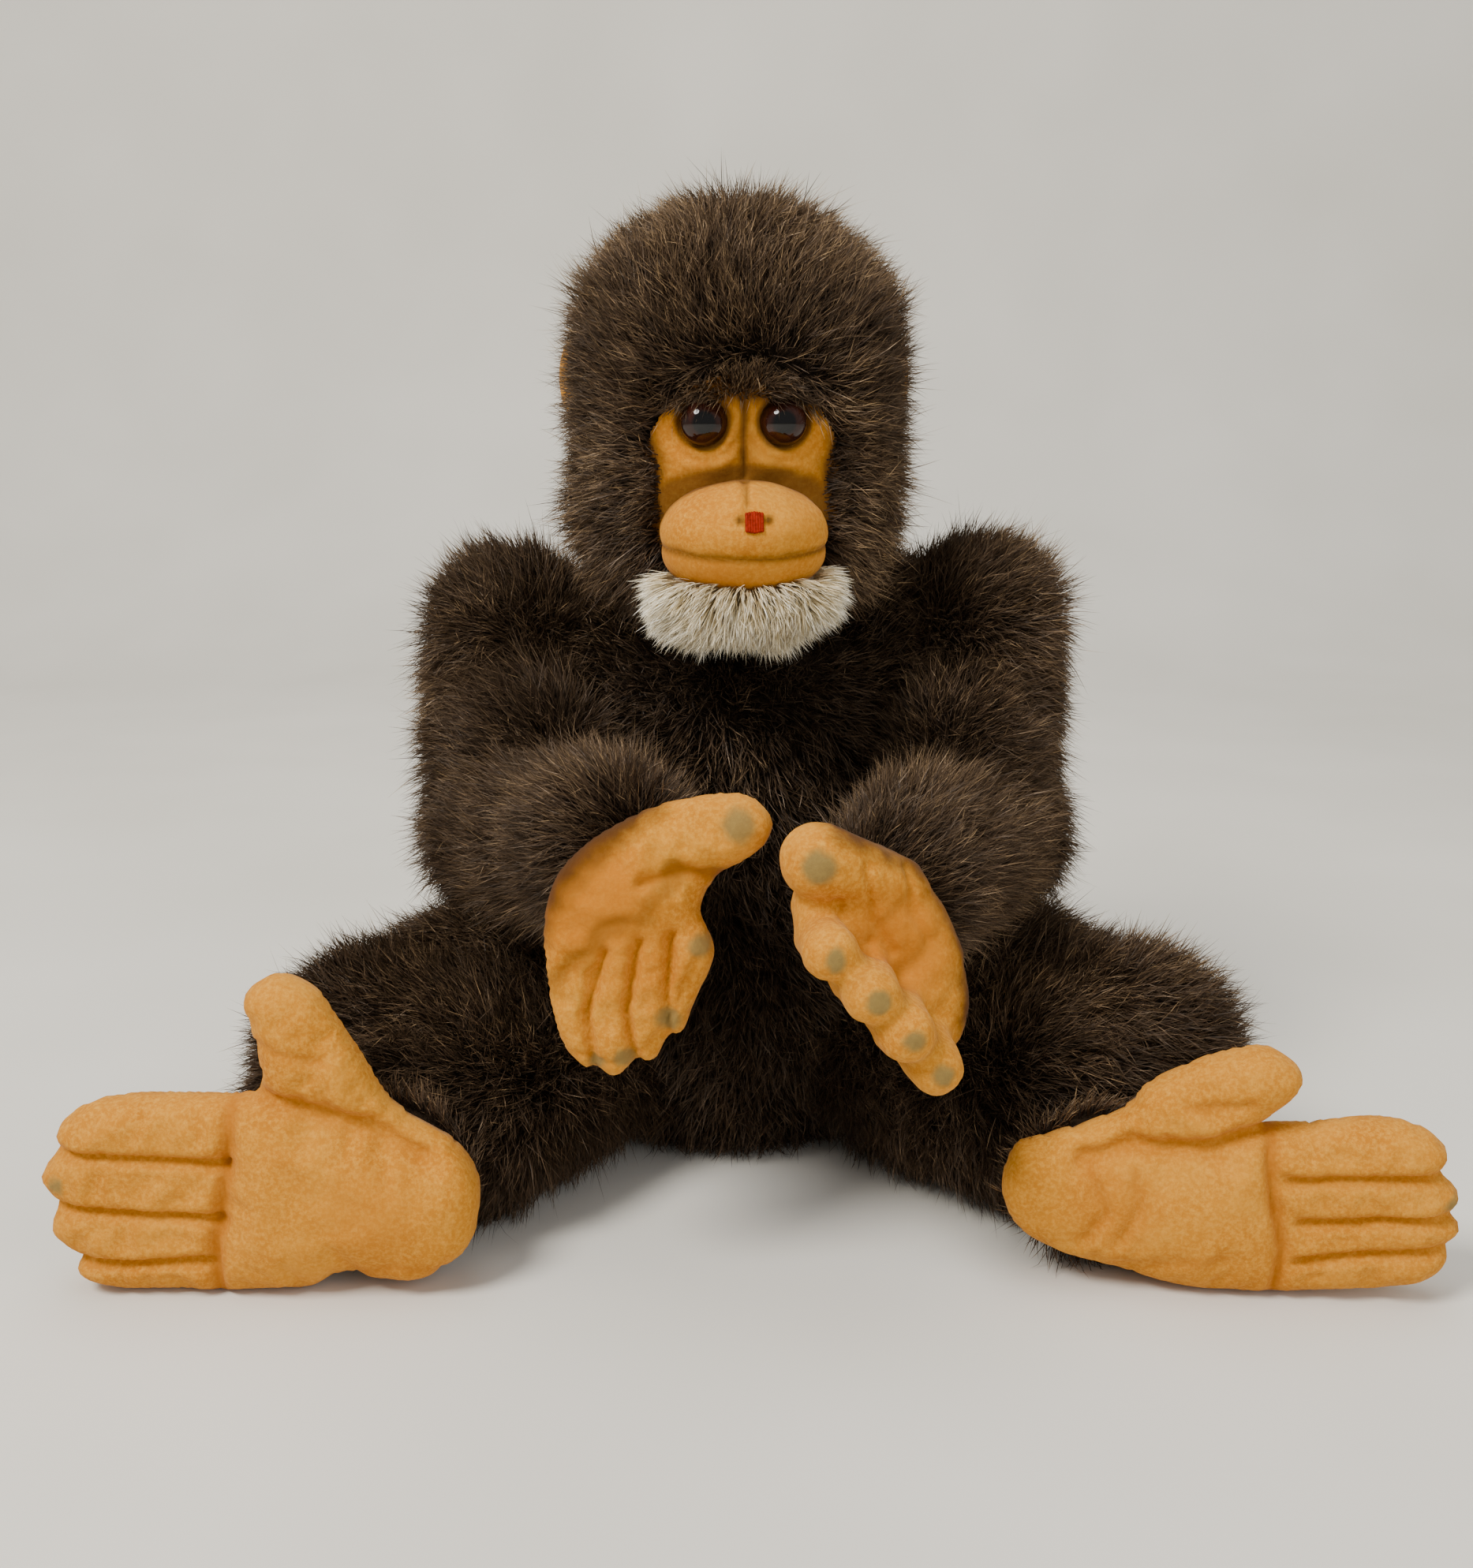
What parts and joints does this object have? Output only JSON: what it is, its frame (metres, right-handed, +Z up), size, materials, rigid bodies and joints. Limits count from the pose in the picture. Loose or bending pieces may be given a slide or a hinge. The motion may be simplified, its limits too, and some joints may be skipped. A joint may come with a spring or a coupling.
{
  "type": "plush monkey",
  "caption": "Floppy sitting plush monkey with a brown pile coat, velour face, hands and feet, a cream beard and domed plastic eyes; head, arms and legs bend at sewn joints.",
  "frame": {"origin": "middle of the flat seat under the body", "axes": "+Z up, -Y the way the toy faces, +X the toy's left"},
  "size_m": [0.3335, 0.1888, 0.257],
  "materials": {
    "fur_pile": "long brown pile",
    "velour": "short orange velour",
    "beard_pile": "long cream pile",
    "nose_thread": "embroidery thread",
    "eye_plastic": "glossy",
    "washer_plastic": "moulded",
    "stuffing": "loose polyester fibre",
    "pellet_bag": "woven bag of plastic pellets"
  },
  "bodies": {
    "torso": {"body_cover": "fur_pile", "body_stuffing": "stuffing", "pellet_bag": "pellet_bag"},
    "neck": {"neck_stuffing": "stuffing"},
    "head": {"head_cover": "fur_pile", "head_stuffing": "stuffing", "face_panel": "velour", "muzzle_cover": "velour", "muzzle_stuffing": "stuffing", "lower_lip": "velour", "beard": "beard_pile", "nose": "nose_thread", "right_eye": "eye_plastic", "left_eye": "eye_plastic", "right_eye_washer": "washer_plastic", "left_eye_washer": "washer_plastic", "right_ear": "velour", "left_ear": "velour"},
    "right_shoulder": {"right_shoulder_stuffing": "stuffing"},
    "right_upper_arm": {"right_upper_arm_cover": "fur_pile", "right_upper_arm_stuffing": "stuffing"},
    "right_forearm": {"right_forearm_cover": "fur_pile", "right_forearm_stuffing": "stuffing"},
    "right_hand": {"right_hand_back": "fur_pile", "right_palm_stuffing": "stuffing", "right_palm_panel": "velour", "right_fingers": "velour", "right_thumb": "velour"},
    "right_hip": {"right_hip_stuffing": "stuffing"},
    "right_leg": {"right_leg_cover": "fur_pile", "right_leg_stuffing": "stuffing"},
    "right_foot": {"right_foot_top": "fur_pile", "right_foot_stuffing": "stuffing", "right_sole_panel": "velour", "right_toes": "velour", "right_big_toe": "velour"},
    "left_shoulder": {"left_shoulder_stuffing": "stuffing"},
    "left_upper_arm": {"left_upper_arm_cover": "fur_pile", "left_upper_arm_stuffing": "stuffing"},
    "left_forearm": {"left_forearm_cover": "fur_pile", "left_forearm_stuffing": "stuffing"},
    "left_hand": {"left_hand_back": "fur_pile", "left_palm_stuffing": "stuffing", "left_palm_panel": "velour", "left_fingers": "velour", "left_thumb": "velour"},
    "left_hip": {"left_hip_stuffing": "stuffing"},
    "left_leg": {"left_leg_cover": "fur_pile", "left_leg_stuffing": "stuffing"},
    "left_foot": {"left_foot_top": "fur_pile", "left_foot_stuffing": "stuffing", "left_sole_panel": "velour", "left_toes": "velour", "left_big_toe": "velour"}
  },
  "joints": [
    {"name": "neck_nod", "type": "hinge", "parent": "torso", "child": "neck", "pos_m": [0, -0.012, 0.15], "axis": [1, 0, 0], "range_deg": [-12, 14]},
    {"name": "head_turn", "type": "hinge", "parent": "neck", "child": "head", "pos_m": [0, -0.012, 0.15], "axis": [0, 0, 1], "range_deg": [-50, 50]},
    {"name": "right_arm_swing", "type": "hinge", "parent": "torso", "child": "right_shoulder", "pos_m": [-0.0627, 0, 0.142], "axis": [-1, 0, 0], "range_deg": [-6, 50]},
    {"name": "right_arm_spread", "type": "hinge", "parent": "right_shoulder", "child": "right_upper_arm", "pos_m": [-0.0627, 0, 0.142], "axis": [0, 1, 0], "range_deg": [0, 34]},
    {"name": "right_elbow", "type": "hinge", "parent": "right_upper_arm", "child": "right_forearm", "pos_m": [-0.061, -0.028, 0.09], "axis": [0.8966, 0.4016, -0.1869], "range_deg": [-20, 15]},
    {"name": "right_wrist", "type": "hinge", "parent": "right_forearm", "child": "right_hand", "pos_m": [-0.033, -0.084, 0.104], "axis": [-0.9792, 0.0107, -0.2027], "range_deg": [-12, 30]},
    {"name": "right_leg_splay", "type": "hinge", "parent": "torso", "child": "right_hip", "pos_m": [-0.048, -0.03, 0.031], "axis": [0, 0, -1], "range_deg": [-15, 30]},
    {"name": "right_leg_lift", "type": "hinge", "parent": "right_hip", "child": "right_leg", "pos_m": [-0.048, -0.03, 0.031], "axis": [-0.7974, 0.6034, 0], "range_deg": [-40, 8]},
    {"name": "right_ankle", "type": "hinge", "parent": "right_leg", "child": "right_foot", "pos_m": [-0.076, -0.067, 0.031], "axis": [0, 0, 1], "range_deg": [-25, 25]},
    {"name": "left_arm_swing", "type": "hinge", "parent": "torso", "child": "left_shoulder", "pos_m": [0.067, 0, 0.145], "axis": [-1, 0, 0], "range_deg": [-6, 50]},
    {"name": "left_arm_spread", "type": "hinge", "parent": "left_shoulder", "child": "left_upper_arm", "pos_m": [0.067, 0, 0.145], "axis": [0, -1, 0], "range_deg": [0, 70]},
    {"name": "left_elbow", "type": "hinge", "parent": "left_upper_arm", "child": "left_forearm", "pos_m": [0.066, -0.025, 0.092], "axis": [0.9116, -0.3782, 0.1612], "range_deg": [-20, 15]},
    {"name": "left_wrist", "type": "hinge", "parent": "left_forearm", "child": "left_hand", "pos_m": [0.042, -0.082, 0.094], "axis": [-0.6469, -0.0948, 0.7567], "range_deg": [0, 30]},
    {"name": "left_leg_splay", "type": "hinge", "parent": "torso", "child": "left_hip", "pos_m": [0.048, -0.03, 0.031], "axis": [0, 0, 1], "range_deg": [-15, 30]},
    {"name": "left_leg_lift", "type": "hinge", "parent": "left_hip", "child": "left_leg", "pos_m": [0.048, -0.03, 0.031], "axis": [-0.6866, -0.727, 0], "range_deg": [-40, 8]},
    {"name": "left_ankle", "type": "hinge", "parent": "left_leg", "child": "left_foot", "pos_m": [0.084, -0.064, 0.031], "axis": [0, 0, -1], "range_deg": [-25, 25]}
  ]
}
